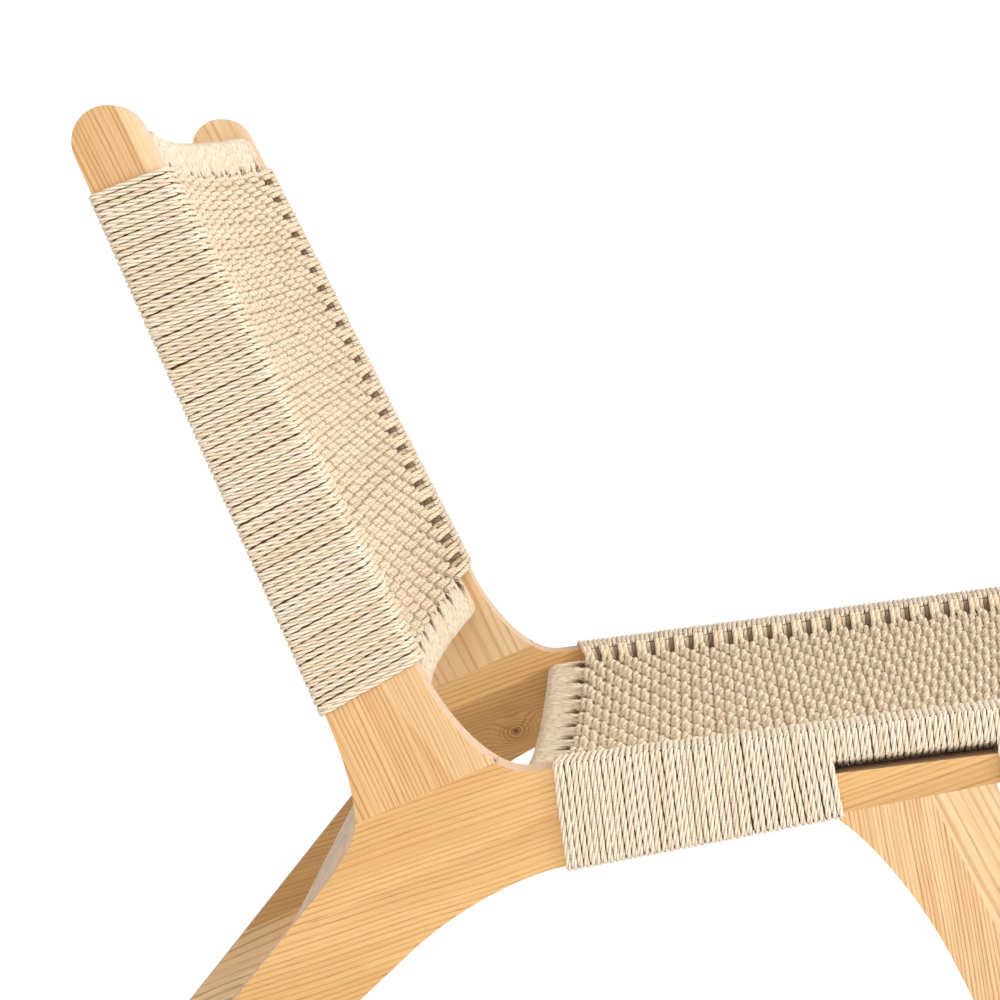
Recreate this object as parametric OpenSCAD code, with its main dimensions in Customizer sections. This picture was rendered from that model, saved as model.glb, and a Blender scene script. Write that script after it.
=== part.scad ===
// Lounge chair: two side frames shaped from ash boards, joined by cross rails, with a
// seat and a back woven in twisted paper cord that also wraps the frames.
// X runs across the chair, the sitter faces -Y, Z is up, and the origin lies on the
// floor under the middle of the chair. "Right" and "left" are the sitter's own.

/* [Side frames] */
// Width over the outer faces of the two side frames
chair_w = 650; // [560:1:760]
// Thickness of the boards of the side frames
board_t = 30; // [27:0.5:36]

/* [Seat rail] */
// Slope of the rail's top edge, rising to the front, in degrees
seat_rake = 7.8; // [5:0.1:11]
// Place of the seat's datum behind the middle of the chair
seat_datum_y = 45; // [35:1:55]
// Height of the rail's top edge at the datum
seat_datum_h = 317.6; // [300:0.1:340]
// Length from the datum to the middle of the rounded nose
seat_len = 423; // [390:1:460]
// Depth of the rail at the datum
rail_depth = 66; // [60:0.1:74]
// Radius of the rounded nose at the front of the rail
nose_r = 19; // [18.5:0.5:24]

/* [Back upright] */
// Lean of the upright's front edge from the vertical, in degrees
back_lean = 26.95; // [22:0.05:32]
// Place of the upright's datum behind the middle of the chair
back_datum_y = 156.9; // [150:0.1:166]
// Height of the upright's datum, where its wraps begin
back_datum_h = 384.7; // [378:0.1:400]
// Length from the wraps' upper end to the middle of the rounded top
upright_over = 34.5; // [28:0.5:44]
// How far the joint's rear end lies behind the upright's datum
joint_back = 41.1; // [38:0.1:46]
// How far the joint's rear end lies below the upright's datum
joint_down = 109; // [100:0.5:116]
// Width of the upright at its datum
upright_w = 70.2; // [64:0.1:78]
// Radius of the upright's rounded top
ear_r = 24.2; // [22:0.1:27]

/* [Legs] */
// Place of the rear foot's front corner on the floor
rear_foot_front = 353; // [335:1:362]
// Place of the rear foot's back corner on the floor
rear_foot_back = 400; // [388:1:420]
// Place of the front foot's rear corner on the floor
front_foot_rear = -301; // [-310:1:-290]
// Place of the front foot's front corner on the floor
front_foot_front = -348; // [-365:1:-338]
// Where the front leg's joint starts, along the rail from the datum
leg_joint_start = 167.5; // [155:0.5:180]
// Length of the front leg's joint under the rail
leg_joint_len = 107; // [95:0.5:112]

/* [Glue seams] */
// Slope of the seams between the rail's boards, in degrees
seam_slope = 24.5; // [20:0.5:28]
// How far the upper seam passes below the middle of the upright's joint, right frame
seam_right = 53.5; // [44:0.5:58]
// The same on the left frame
seam_left = 26.5; // [20:0.5:36]
// Width of the board between the two seams
seam_board_w = 100; // [90:1:112]
// Place of the front leg's seam along its joint, as a share of it
leg_seam = 0.58; // [0.5:0.01:0.66]
// Slope of the front leg's seam, in degrees
leg_seam_slope = 63.3; // [60:0.1:66]

/* [Cross rails] */
// Width of a cross rail, along the woven face
cross_w = 25; // [22:0.5:27]
// Depth of a cross rail, away from the sitter
cross_d = 29; // [24:0.5:31]
// Radius of a cross rail's long edges
cross_round = 4; // [2:0.5:6]
// How far the two back rails bow rearward in the middle
back_bow = 18; // [10:0.5:26]
// How far the two seat rails dip in the middle
seat_dip = 14; // [8:0.5:20]
// Distance from the upper end of the upright's wraps to the back top rail
back_top_clear = 5; // [4.5:0.5:12]
// Place of the back bottom rail's upper edge below the upright's datum
back_bottom_at = 8.5; // [7.5:0.5:12]
// How far the back bottom rail sits behind the upright's front edge
back_bottom_inset = 8; // [5:0.5:12]
// Place of the seat rear rail's front edge behind the seat's datum
seat_rear_at = 16; // [12:0.5:20]
// Place of the seat front rail's rear edge ahead of the seat's datum
seat_front_at = 398; // [360:0.5:402]
// How far the seat's cross rails sit below the side rails' top edge
seat_inset = 9; // [6:0.5:9.5]
// Width of the stretcher between the rear legs, along the leg
stretcher_w = 36; // [28:0.5:42]
// Thickness of that stretcher
stretcher_t = 24; // [18:0.5:28]
// Radius of the stretcher's long edges
stretcher_round = 8; // [4:0.5:8.5]
// Place of the stretcher's middle behind the middle of the chair
stretcher_y = 231.5; // [224:0.5:234]
// Height of the stretcher's middle
stretcher_h = 195; // [190:0.5:205]

/* [Cord] */
// Diameter of the paper cord
cord_d = 4.2; // [3:0.1:5]
// Distance from one wrap to the next
cord_pitch = 4.15; // [3.6:0.05:6]
// Thickness of the woven seat and back
weave_t = 7; // [6:0.5:9]
// Length of the wraps on the upright
back_wrap_len = 373.5; // [330:0.5:376]
// Length of the wraps on the seat rail behind the slot
rear_wrap_len = 187; // [175:0.5:188]
// Gap left between a cord solid and its neighbour
cord_gap = 0.2; // [0.1:0.05:0.3]

/* [Slot] */
// Length of the slot in the seat rail
slot_len = 111; // [100:0.5:114]
// Height of the slot
slot_h = 12.5; // [9.5:0.5:13.5]
// Thickness of the rail left above the slot
slot_band = 15.5; // [13:0.5:16.5]

/* [Dowels and glides] */
// Diameter of the dowels that join the side frames' boards
frame_dowel_d = 10; // [8:0.5:12]
// Length of those dowels
frame_dowel_len = 44; // [36:1:48]
// How far the front leg's dowels sit below the middle of their joint
leg_dowel_drop = 8; // [6:0.5:10]
// Diameter of the dowels at the ends of the cross rails
rail_dowel_d = 8; // [6:0.5:9]
// Length of those dowels
rail_dowel_len = 40; // [30:1:44]
// Distance between the two dowels at a rail's end
rail_dowel_gap = 14; // [12:0.5:16]
// Diameter of a foot's glide
glide_d = 20; // [16:0.5:24]
// Height of a glide below the wood
glide_h = 3; // [2:0.5:5]
// Diameter of a glide's pin
glide_pin_d = 4; // [3:0.5:6]
// Length of a glide's pin
glide_pin_len = 14; // [10:1:18]

/* [Hidden] */
RIGHT = -1;
LEFT = 1;
ASH = [0.90, 0.72, 0.47];
ASH_PALE = [0.93, 0.80, 0.58];
CORD = [0.87, 0.80, 0.66];
curve_steps = 14;
arc_steps = 20;
sweep_fn = 720;
round_fn = 32;
half_in = chair_w / 2 - board_t;      // inner face of a side frame
board_mid = (chair_w - board_t) / 2;  // middle of a side frame's thickness
far = 1200;                           // longer than the chair, for the cuts at the seams
back_wrap_from = -2;                  // lower end of the wraps on the upright
wrap_low = 0.62 * cord_d;             // height of a wrap's surface between two cords
bow_rings = 16;                       // straight pieces of the bore of a bowed rail's wraps

// Points in the side view, as [Y, Z], from a place along the seat rail and a height
// above its top edge, and from a place up the upright and a depth behind its front edge
function seat_pt(u, n) = [seat_datum_y - u * cos(seat_rake) + n * sin(seat_rake),
    seat_datum_h + u * sin(seat_rake) + n * cos(seat_rake)];
function back_pt(u, d) = [back_datum_y + u * sin(back_lean) + d * cos(back_lean),
    back_datum_h + u * cos(back_lean) - d * sin(back_lean)];
// How fast a board narrows from its width at the datum to the rounded end that it meets
function taper(len, r, w) = tan(atan2(w - r, len) - asin(r / norm([len, w - r])));
back_wrap_to = back_wrap_from + back_wrap_len;
upright_len = back_wrap_to + upright_over;
back_top_at = back_wrap_to + back_top_clear;
rail_taper = taper(seat_len, nose_r, rail_depth);
upright_taper = taper(upright_len, ear_r, upright_w);
function rail_bottom(u) = -rail_depth + u * rail_taper;
function upright_rear(u) = upright_w - u * upright_taper;

// Points of a cubic curve between two shares of its length, and of an arc
function cubic(a, b, c, d, t0 = 0, t1 = 1) = [for (i = [0:curve_steps])
    let (t = t0 + (t1 - t0) * i / curve_steps, s = 1 - t)
    s * s * s * a + 3 * s * s * t * b + 3 * s * t * t * c + t * t * t * d];
function arc(c, r, a0, a1) = [for (i = [0:arc_steps])
    let (a = a0 + (a1 - a0) * i / arc_steps) c + r * [cos(a), sin(a)]];
function last(list) = list[len(list) - 1];
function unit(v) = v / norm(v);

// The concave curve from the upright's front edge to the rail's top edge, which the
// joint between the two boards crosses at a share of its length
joint_share = 0.73;
notch_from = 14;       // where the curve leaves the upright, below its datum
notch_pull = [22, 30]; // how far its control points lie from its upper and its lower end
notch_to = 34;         // where it meets the rail, behind the seat's datum
function notch(t0, t1) = cubic(back_pt(-notch_from, 0), back_pt(-notch_from - notch_pull[0], 0),
    seat_pt(-notch_to - notch_pull[1], 0), seat_pt(-notch_to, 0), t0, t1);
joint_front = last(notch(0, joint_share));
joint_rear = [back_datum_y + joint_back, back_datum_h - joint_down];
joint_dir = unit(joint_front - joint_rear);
joint_up = [joint_dir[1], -joint_dir[0]];

// The rear edge of the upright's foot, and the upright's round top
heel_rise = [0.3, 25]; // from the joint's rear end to the curve's first control point
heel_pull = 24;        // from the datum down to its second one
heel_curve = cubic(joint_rear, joint_rear + heel_rise,
    back_pt(-heel_pull, upright_rear(-heel_pull)), back_pt(0, upright_w));
ear_arc = arc(back_pt(upright_len, ear_r), ear_r, atan(upright_taper) - back_lean,
    180 - back_lean);
upright_outline = concat(heel_curve, ear_arc, notch(0, joint_share));

// The knee inside and outside, the foot that the rear leg tapers to, and the rail's nose
knee_in_from = 20.5;        // where the inner curve leaves the rail, behind the seat's datum
knee_in_pull = [30, 42];    // from its ends to its control points
knee_in_to = [160, 188.6];  // where it turns into the leg's straight inner edge
knee_in_dir = unit([rear_foot_front, glide_h] - knee_in_to);
knee_in = cubic(seat_pt(-knee_in_from, rail_bottom(-knee_in_from)),
    seat_pt(-knee_in_from - knee_in_pull[0], rail_bottom(-knee_in_from - knee_in_pull[0])),
    knee_in_to - knee_in_pull[1] * knee_in_dir, knee_in_to);
knee_out_pull = [37.4, 19.7]; // from the outer curve's ends to its control points
knee_out_from = [248, 197];   // where the curve leaves the leg's straight outer edge
knee_out_dir = unit([rear_foot_back, glide_h] - knee_out_from);
knee_out = cubic(knee_out_from, knee_out_from - knee_out_pull[0] * knee_out_dir,
    joint_rear - [0, knee_out_pull[1]], joint_rear);
nose_arc = arc(seat_pt(seat_len, -nose_r), nose_r, 90 - seat_rake,
    270 - seat_rake - atan(rail_taper));
rail_outline = concat(notch(joint_share, 1), nose_arc, knee_in,
    [[rear_foot_front, glide_h], [rear_foot_back, glide_h]], knee_out);

// The front leg, from its joint under the rail to its foot
leg_joint_end = leg_joint_start + leg_joint_len;
leg_joint_rear = seat_pt(leg_joint_start, rail_bottom(leg_joint_start));
leg_joint_front = seat_pt(leg_joint_end, rail_bottom(leg_joint_end));
leg_dir = unit(leg_joint_front - leg_joint_rear);
leg_up = [leg_dir[1], -leg_dir[0]];
leg_shoulder = 4.5;            // upright stretch of the edge just under the joint
leg_bend_at = [-78.5, -101.5]; // from the joint to where the curve ends
leg_set_off = [-29, -20];      // from the curve's upper end to its first control point
leg_pull = 40;                 // from its lower end to its second one
leg_inner_from = leg_joint_rear - [0, leg_shoulder];
leg_bend = leg_joint_rear + leg_bend_at;
leg_rise = unit(leg_bend - [front_foot_rear, glide_h]);
leg_inner = cubic(leg_inner_from, leg_inner_from + leg_set_off, leg_bend + leg_pull * leg_rise,
    leg_bend);
leg_outline = concat([leg_joint_front, leg_joint_rear], leg_inner,
    [[front_foot_rear, glide_h], [front_foot_front, glide_h]]);
leg_seam_at = leg_joint_rear + (leg_joint_front - leg_joint_rear) * leg_seam;

// A point on a seam of one frame, a distance below that frame's upper seam
function seam_at(side, down) = (joint_rear + joint_front) / 2
    - [0, (side == RIGHT ? seam_right : seam_left) + down / cos(seam_slope)];

// Where the stretches of wraps lie along the seat rail
rear_wrap_from = -20;
rear_wrap_skew = cord_d + cord_gap - seat_rear_at - rear_wrap_from;
slot_from = rear_wrap_from + rear_wrap_len;
slot_to = slot_from + slot_len;
front_wrap_to = seat_front_at - cord_d - cord_gap;

// Middles of the cross rails and the stretcher in the side view
back_top_mid = back_pt(back_top_at + cross_w / 2, cross_d / 2);
back_bottom_mid = back_pt(-back_bottom_at - cross_w / 2, back_bottom_inset + cross_d / 2);
seat_rear_mid = seat_pt(-seat_rear_at - cross_w / 2, -seat_inset - cross_d / 2);
seat_front_mid = seat_pt(seat_front_at + cross_w / 2, -seat_inset - cross_d / 2);
stretcher_mid = [stretcher_y, stretcher_h];
stretcher_turn = atan2(knee_out_from[1], knee_out_from[0] - rear_foot_back);

// Turns a side view outline, drawn as [Y, Z], into a board of one side frame
module board(side) {
    translate([side * board_mid, 0, 0]) rotate([90, 0, 90])
        linear_extrude(board_t, center = true) children();
}

// The half of the side view above a line that rises to the front
module above_line(at, slope) {
    translate(at) rotate(-slope) translate([-far, 0]) square([2 * far, far]);
}

// The rear leg's outline below its lower seam
module heel_half(side) {
    difference() {
        translate([0, -far / 2]) square(far);
        above_line(seam_at(side, seam_board_w), seam_slope);
    }
}

// The half of the side view in front of the front leg's seam
module leg_front_half() {
    translate(leg_seam_at) rotate(leg_seam_slope) translate([-far, 0]) square([2 * far, far]);
}

// A rectangle with round corners
module rounded(w, h, r) {
    translate([r, 0]) square([w - 2 * r, h]);
    translate([0, r]) square([w, h - 2 * r]);
    for (x = [r, w - r], y = [r, h - r]) translate([x, y]) circle(r, $fn = round_fn);
}

// Dowels across a joint of one side frame
module frame_dowels(side, from, to, shares, up, drop) {
    for (s = shares) {
        at = from + (to - from) * s - up * drop;
        translate([side * board_mid, at[0], at[1]]) rotate([-atan2(up[0], up[1]), 0, 0])
            cylinder(d = frame_dowel_d, h = frame_dowel_len, center = true, $fn = round_fn);
    }
}

module upright_dowel_set(side) {
    frame_dowels(side, joint_rear, joint_front, [0.28, 0.72], joint_up, 0);
}

// These sit lower than their joint's middle, because the slot lies above them
module leg_dowel_set(side) {
    frame_dowels(side, leg_joint_rear, leg_joint_front, [0.3, 0.8], leg_up, leg_dowel_drop);
}

// Two dowels at each end of a cross rail, spaced about its middle along a direction
module rail_dowels(at, angle) {
    for (side = [RIGHT, LEFT], s = [-0.5, 0.5])
        translate([side * half_in, at[0] + s * rail_dowel_gap * cos(angle),
                   at[1] + s * rail_dowel_gap * sin(angle)])
            rotate([0, 90, 0])
                cylinder(d = rail_dowel_d, h = rail_dowel_len, center = true, $fn = round_fn);
}

module back_dowel_set() {
    rail_dowels(back_top_mid, -back_lean);
    rail_dowels(back_bottom_mid, -back_lean);
}

module seat_dowel_set() {
    rail_dowels(seat_rear_mid, 90 - seat_rake);
    rail_dowels(seat_front_mid, 90 - seat_rake);
}

module stretcher_dowel_set() {
    rail_dowels(stretcher_mid, stretcher_turn);
}

// The nylon glides, whose pins are driven up into the feet
module glide_places() {
    for (side = [RIGHT, LEFT], y = [(rear_foot_front + rear_foot_back) / 2,
                                    (front_foot_rear + front_foot_front) / 2])
        translate([side * board_mid, y, 0]) children();
}

module glide_pins() {
    glide_places() translate([0, 0, glide_h / 2])
        cylinder(d = glide_pin_d, h = glide_h / 2 + glide_pin_len, $fn = round_fn);
}

module foot_glides() {
    color([0.25, 0.22, 0.20]) {
        glide_places() {
            cylinder(d1 = glide_d - 2, d2 = glide_d, h = 1, $fn = round_fn);
            translate([0, 0, 1]) cylinder(d = glide_d, h = glide_h - 1, $fn = round_fn);
        }
        glide_pins();
    }
}

// Boards of the side frames
module back_upright(side) {
    color(ASH) difference() {
        board(side) polygon(upright_outline);
        upright_dowel_set(side);
        back_dowel_set();
    }
}

module knee_board(side) {
    color(ASH) difference() {
        board(side) intersection() {
            polygon(rail_outline);
            above_line(seam_at(side, 0), seam_slope);
        }
        upright_dowel_set(side);
        seat_dowel_set();
        stretcher_dowel_set();
    }
}

// The slot that the wraps pass through above the front leg
module slot_shape() {
    polygon([seat_pt(slot_from, -slot_band), seat_pt(slot_to, -slot_band),
        seat_pt(slot_to, -slot_band - slot_h), seat_pt(slot_from, -slot_band - slot_h)]);
    for (u = [slot_from, slot_to]) translate(seat_pt(u, -slot_band - slot_h / 2))
        circle(d = slot_h, $fn = round_fn);
}

module side_rail(side) {
    color(ASH) difference() {
        board(side) difference() {
            polygon(rail_outline);
            above_line(seam_at(side, 0), seam_slope);
            heel_half(side);
            slot_shape();
        }
        upright_dowel_set(side);
        leg_dowel_set(side);
        seat_dowel_set();
        stretcher_dowel_set();
        glide_pins();
    }
}

module heel_board(side) {
    color(ASH_PALE) difference() {
        board(side) intersection() {
            polygon(rail_outline);
            heel_half(side);
        }
        glide_pins();
    }
}

module leg_rear_board(side) {
    color(ASH_PALE) difference() {
        board(side) difference() {
            polygon(leg_outline);
            leg_front_half();
        }
        leg_dowel_set(side);
        glide_pins();
    }
}

module leg_front_board(side) {
    color(ASH) difference() {
        board(side) intersection() {
            polygon(leg_outline);
            leg_front_half();
        }
        leg_dowel_set(side);
        glide_pins();
    }
}

// Frames of the woven faces: X across, Z towards the sitter, Y up the back or to the rear
module in_back() {
    translate([0, back_datum_y, back_datum_h]) rotate([90 - back_lean, 0, 0]) children();
}

module in_seat() {
    translate([0, seat_datum_y, seat_datum_h]) rotate([-seat_rake, 0, 0]) children();
}

// Radius of a rail's arc across the chair, from how far its middle gives way
function bow_radius(bow) = (half_in * half_in + bow * bow) / (2 * bow);

// Sweeps a profile of [distance away from the sitter, Y] along that arc, cut at |X| = reach
module bowed(bow, top, reach) {
    r = bow_radius(bow);
    turn = asin(half_in / r) + 1;
    intersection() {
        translate([0, 0, top + r - bow]) rotate([-90, 0, 0]) rotate([0, 0, 90 - turn])
            rotate_extrude(angle = 2 * turn, $fn = sweep_fn) translate([r, 0]) children();
        cube([2 * reach, 2 * far, 2 * far], center = true);
    }
}

module cross_rail(y, bow, top) {
    color(ASH) difference() {
        bowed(bow, top, half_in) translate([0, y]) rounded(cross_d, cross_w, cross_round);
        children();
    }
}

// The dowels of a woven face's rails, seen from that face's frame
module out_of_back() {
    rotate([back_lean - 90, 0, 0]) translate([0, -back_datum_y, -back_datum_h]) children();
}

module out_of_seat() {
    rotate([seat_rake, 0, 0]) translate([0, -seat_datum_y, -seat_datum_h]) children();
}

module back_top_rail() {
    in_back() cross_rail(back_top_at, back_bow, 0) out_of_back() back_dowel_set();
}

module back_bottom_rail() {
    in_back() cross_rail(-back_bottom_at - cross_w, back_bow, -back_bottom_inset)
        out_of_back() back_dowel_set();
}

module seat_rear_rail() {
    in_seat() cross_rail(seat_rear_at, seat_dip, -seat_inset) out_of_seat() seat_dowel_set();
}

module seat_front_rail() {
    in_seat() cross_rail(-seat_front_at - cross_w, seat_dip, -seat_inset)
        out_of_seat() seat_dowel_set();
}

module rear_stretcher() {
    color(ASH_PALE) difference() {
        translate([0, stretcher_y, stretcher_h]) rotate([90, 0, 90])
            linear_extrude(2 * half_in, center = true) rotate(stretcher_turn)
                translate([-stretcher_w / 2, -stretcher_t / 2])
                    rounded(stretcher_w, stretcher_t, stretcher_round);
        stretcher_dowel_set();
    }
}

// A ribbed sleeve of cord: rings of four corners outside, and rings of its bore inside
module sleeve(outer, bore) {
    n = len(outer);
    m = len(bore);
    points = [for (ring = concat(outer, bore)) each ring];
    function side_of(a, b) = [for (k = [0:3]) let (j = (k + 1) % 4)
        each [[a + k, b + j, a + j], [a + k, b + k, b + j]]];
    faces = concat(
        [for (i = [0:n - 2]) each side_of(4 * i, 4 * i + 4)],
        [for (i = [0:m - 2]) each side_of(4 * (n + i + 1), 4 * (n + i))],
        side_of(4 * n, 0),
        side_of(4 * (n - 1), 4 * (n + m - 1)));
    color(CORD) polyhedron(points, faces);
}

// Height of a sleeve's ring above the wood: each cord is a ridge between two grooves
function ridge(i) = i % 2 == 1 ? cord_d : wrap_low;

// Corners of a ring round a right-hand rail or upright, in the frame of its woven face:
// outer and inner side at Y places a and b, lifted off the wood's faces by e
function ring(a, b, top, low_a, low_b, e) = [
    [-chair_w / 2 - e, a, top + e], [-half_in + e, b, top + e],
    [-half_in + e, b, low_b - e], [-chair_w / 2 - e, a, low_a - e]];

// Wraps from one place along the seat rail to another, down to the rail's bottom edge or
// through the slot; the inner side of the first wraps leans past the rear rail's end
function seat_low(u, slotted) = slotted ? -slot_band : rail_bottom(u);
function seat_ring(u, skew, slotted, e) =
    ring(-u, -u - skew, 0, seat_low(u, slotted), seat_low(u + skew, slotted), e);

module seat_wrap(side, from, to, skew, slotted) {
    n = floor((to - from) / cord_pitch);
    outer = [for (i = [0:2 * n]) let (s = i / (2 * n))
        seat_ring(from + (to - from) * s, skew * (1 - s), slotted, ridge(i))];
    bore = [for (s = [0, 1])
        seat_ring(from + (to - from) * s, skew * (1 - s), slotted, cord_gap / 2)];
    mirror([side == LEFT ? 1 : 0, 0, 0]) in_seat() sleeve(outer, bore);
}

module back_wrap(side) {
    n = floor(back_wrap_len / cord_pitch);
    function turn(u, e) = ring(u, u, 0, -upright_rear(u), -upright_rear(u), e);
    outer = [for (i = [0:2 * n]) turn(back_wrap_from + back_wrap_len * i / (2 * n), ridge(i))];
    bore = [for (s = [0, 1]) turn(back_wrap_from + back_wrap_len * s, cord_gap / 2)];
    mirror([side == LEFT ? 1 : 0, 0, 0]) in_back() sleeve(outer, bore);
}

// Ribbed wraps of a bowed rail, one rib to two cords
module bowed_wrap(y, bow, top) {
    reach = half_in - cord_gap;
    n = floor(reach / cord_pitch);
    centre = top + bow_radius(bow) - bow;
    function drop(r, x) = centre - sqrt(r * r - x * x);
    function turn(x, e) = let (in = drop(bow_radius(bow) - e, x),
        out = drop(bow_radius(bow) + cross_d + e, x))
        [[x, y - e, in], [x, y + cross_w + e, in], [x, y + cross_w + e, out], [x, y - e, out]];
    outer = [for (i = [0:2 * n]) turn(-reach + reach * i / n, ridge(i))];
    bore = [for (i = [0:bow_rings]) turn(-reach + 2 * reach * i / bow_rings, cord_gap)];
    sleeve(outer, bore);
}

// Plain wraps of a bowed rail, for the two rails that show least
module plain_wrap(y, bow, top) {
    color(CORD) bowed(bow, top, half_in - cord_gap) translate([0, y]) difference() {
        translate([-cord_d, -cord_d])
            rounded(cross_d + 2 * cord_d, cross_w + 2 * cord_d, cross_round + cord_d);
        translate([-cord_gap / 2, -cord_gap / 2])
            rounded(cross_d + cord_gap, cross_w + cord_gap, cross_round);
    }
}

module back_top_rail_wrap() {
    in_back() bowed_wrap(back_top_at, back_bow, 0);
}

module back_bottom_rail_wrap() {
    in_back() plain_wrap(-back_bottom_at - cross_w, back_bow, -back_bottom_inset);
}

module seat_rear_rail_wrap() {
    in_seat() plain_wrap(seat_rear_at, seat_dip, -seat_inset);
}

module seat_front_rail_wrap() {
    in_seat() bowed_wrap(-seat_front_at - cross_w, seat_dip, -seat_inset);
}

// A woven face between the wraps of two rails, flush with them towards the sitter
module weave(from, to, bow, top) {
    color(CORD) bowed(bow, top, half_in - cord_d - cord_gap)
        translate([-cord_d, from]) square([weave_t, to - from]);
}

weave_edge = cord_d + 2 * cord_gap;
back_weave_from = -back_bottom_at + weave_edge;
back_weave_to = back_top_at - weave_edge;
back_weave_tilt = atan2(back_bottom_inset, back_weave_to - back_weave_from);

module back_weave() {
    in_back() translate([0, back_weave_from, -back_bottom_inset])
        rotate([back_weave_tilt, 0, 0])
            weave(0, (back_weave_to - back_weave_from) * cos(back_weave_tilt), back_bow, 0);
}

module seat_weave() {
    in_seat() weave(-seat_front_at + weave_edge, seat_rear_at - weave_edge, seat_dip,
        -seat_inset);
}

module dowels() {
    color(ASH_PALE) children();
}

back_upright(RIGHT);  // right_back_upright
back_upright(LEFT);  // left_back_upright
knee_board(RIGHT);  // right_knee_board
knee_board(LEFT);  // left_knee_board
side_rail(RIGHT);  // right_side_rail
side_rail(LEFT);  // left_side_rail
heel_board(RIGHT);  // right_heel_board
heel_board(LEFT);  // left_heel_board
leg_rear_board(RIGHT);  // right_leg_rear_board
leg_rear_board(LEFT);  // left_leg_rear_board
leg_front_board(RIGHT);  // right_leg_front_board
leg_front_board(LEFT);  // left_leg_front_board
back_top_rail();
back_bottom_rail();
seat_rear_rail();
seat_front_rail();
rear_stretcher();
dowels() upright_dowel_set(RIGHT);  // right_upright_dowels
dowels() upright_dowel_set(LEFT);  // left_upright_dowels
dowels() leg_dowel_set(RIGHT);  // right_leg_dowels
dowels() leg_dowel_set(LEFT);  // left_leg_dowels
dowels() back_dowel_set();  // back_rail_dowels
dowels() seat_dowel_set();  // seat_rail_dowels
dowels() stretcher_dowel_set();  // stretcher_dowels
foot_glides();
back_wrap(RIGHT);  // right_back_wrap
back_wrap(LEFT);  // left_back_wrap
seat_wrap(RIGHT, rear_wrap_from, slot_from - cord_gap, rear_wrap_skew, false);  // right_seat_rear_wrap
seat_wrap(LEFT, rear_wrap_from, slot_from - cord_gap, rear_wrap_skew, false);  // left_seat_rear_wrap
seat_wrap(RIGHT, slot_from, slot_to, 0, true);  // right_slot_wrap
seat_wrap(LEFT, slot_from, slot_to, 0, true);  // left_slot_wrap
seat_wrap(RIGHT, slot_to + cord_gap, front_wrap_to, 0, false);  // right_seat_front_wrap
seat_wrap(LEFT, slot_to + cord_gap, front_wrap_to, 0, false);  // left_seat_front_wrap
back_top_rail_wrap();
back_bottom_rail_wrap();
seat_rear_rail_wrap();
seat_front_rail_wrap();
back_weave();
seat_weave();
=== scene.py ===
"""Looks of a low lounge chair: two side frames of ash boards, and a seat and a back woven
in twisted paper cord. X runs across the chair, the sitter faces -Y and Z is up. Lengths
below are in millimetres unless they go straight to Blender, which takes metres."""

import math

import bmesh
import bpy
import numpy as np
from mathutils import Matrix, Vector


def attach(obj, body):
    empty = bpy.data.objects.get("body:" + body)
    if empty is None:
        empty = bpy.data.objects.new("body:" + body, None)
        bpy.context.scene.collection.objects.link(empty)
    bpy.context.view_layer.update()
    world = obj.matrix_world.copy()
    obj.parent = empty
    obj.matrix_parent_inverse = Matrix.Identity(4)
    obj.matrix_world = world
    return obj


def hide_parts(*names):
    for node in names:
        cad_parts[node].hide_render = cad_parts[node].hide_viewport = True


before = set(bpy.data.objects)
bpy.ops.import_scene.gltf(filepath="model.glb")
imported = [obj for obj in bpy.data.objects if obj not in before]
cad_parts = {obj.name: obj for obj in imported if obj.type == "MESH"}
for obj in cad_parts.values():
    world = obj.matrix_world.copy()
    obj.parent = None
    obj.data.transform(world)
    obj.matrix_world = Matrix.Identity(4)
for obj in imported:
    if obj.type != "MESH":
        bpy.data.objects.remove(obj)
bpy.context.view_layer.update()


# Side frames
# Each is glued up from six shaped ash boards, 30 mm thick, with its outer edges eased. Ash
# has growth rings round a pith that lies off the board, drawn out along the grain. The
# early wood of each ring holds long dark pores, and the late wood is smooth and pale.
class Socket:
    """The output of a node. A sum with it adds the Math nodes that work it out."""

    def __init__(self, tree, out):
        self.tree, self.out = tree, out

    def maths(self, operation, *values):
        node = self.tree.nodes.new("ShaderNodeMath")
        node.operation = operation
        for slot, value in zip(node.inputs, values):
            put(self.tree, slot, value)
        return Socket(self.tree, node.outputs[0])

    def __add__(self, other):
        return self.maths("ADD", self, other)

    def __radd__(self, other):
        return self.maths("ADD", other, self)

    def __sub__(self, other):
        return self.maths("SUBTRACT", self, other)

    def __rsub__(self, other):
        return self.maths("SUBTRACT", other, self)

    def __mul__(self, other):
        return self.maths("MULTIPLY", self, other)

    def __rmul__(self, other):
        return self.maths("MULTIPLY", other, self)

    def __truediv__(self, other):
        return self.maths("DIVIDE", self, other)

    def __rtruediv__(self, other):
        return self.maths("DIVIDE", other, self)

    def sqrt(self):
        return self.maths("SQRT", self)

    def fract(self):
        return self.maths("FRACT", self)

    def cos(self):
        return self.maths("COSINE", self)

    def abs(self):
        return self.maths("ABSOLUTE", self)

    def atan2(self, other):
        return self.maths("ARCTAN2", self, other)

    def span(self, low, high):
        """0 at low, 1 at high, and a soft step in between. High may lie below low."""
        node = self.tree.nodes.new("ShaderNodeMapRange")
        node.interpolation_type = "SMOOTHSTEP"
        put(self.tree, node.inputs["Value"], self)
        put(self.tree, node.inputs["From Min"], low)
        put(self.tree, node.inputs["From Max"], high)
        return Socket(self.tree, node.outputs["Result"])


def put(tree, slot, value):
    """Links a socket to an input, or sets the input to a number or a colour."""
    if isinstance(value, Socket):
        tree.links.new(value.out, slot)
    elif slot.type == "RGBA":
        slot.default_value = (*value, 1)
    else:
        slot.default_value = value


def hue(r, g, b):
    """A colour as a picture shows it, from 0 to 255, as the light that Blender takes."""
    return tuple(((c / 255 + 0.055) / 1.055) ** 2.4 for c in (r, g, b))


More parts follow.
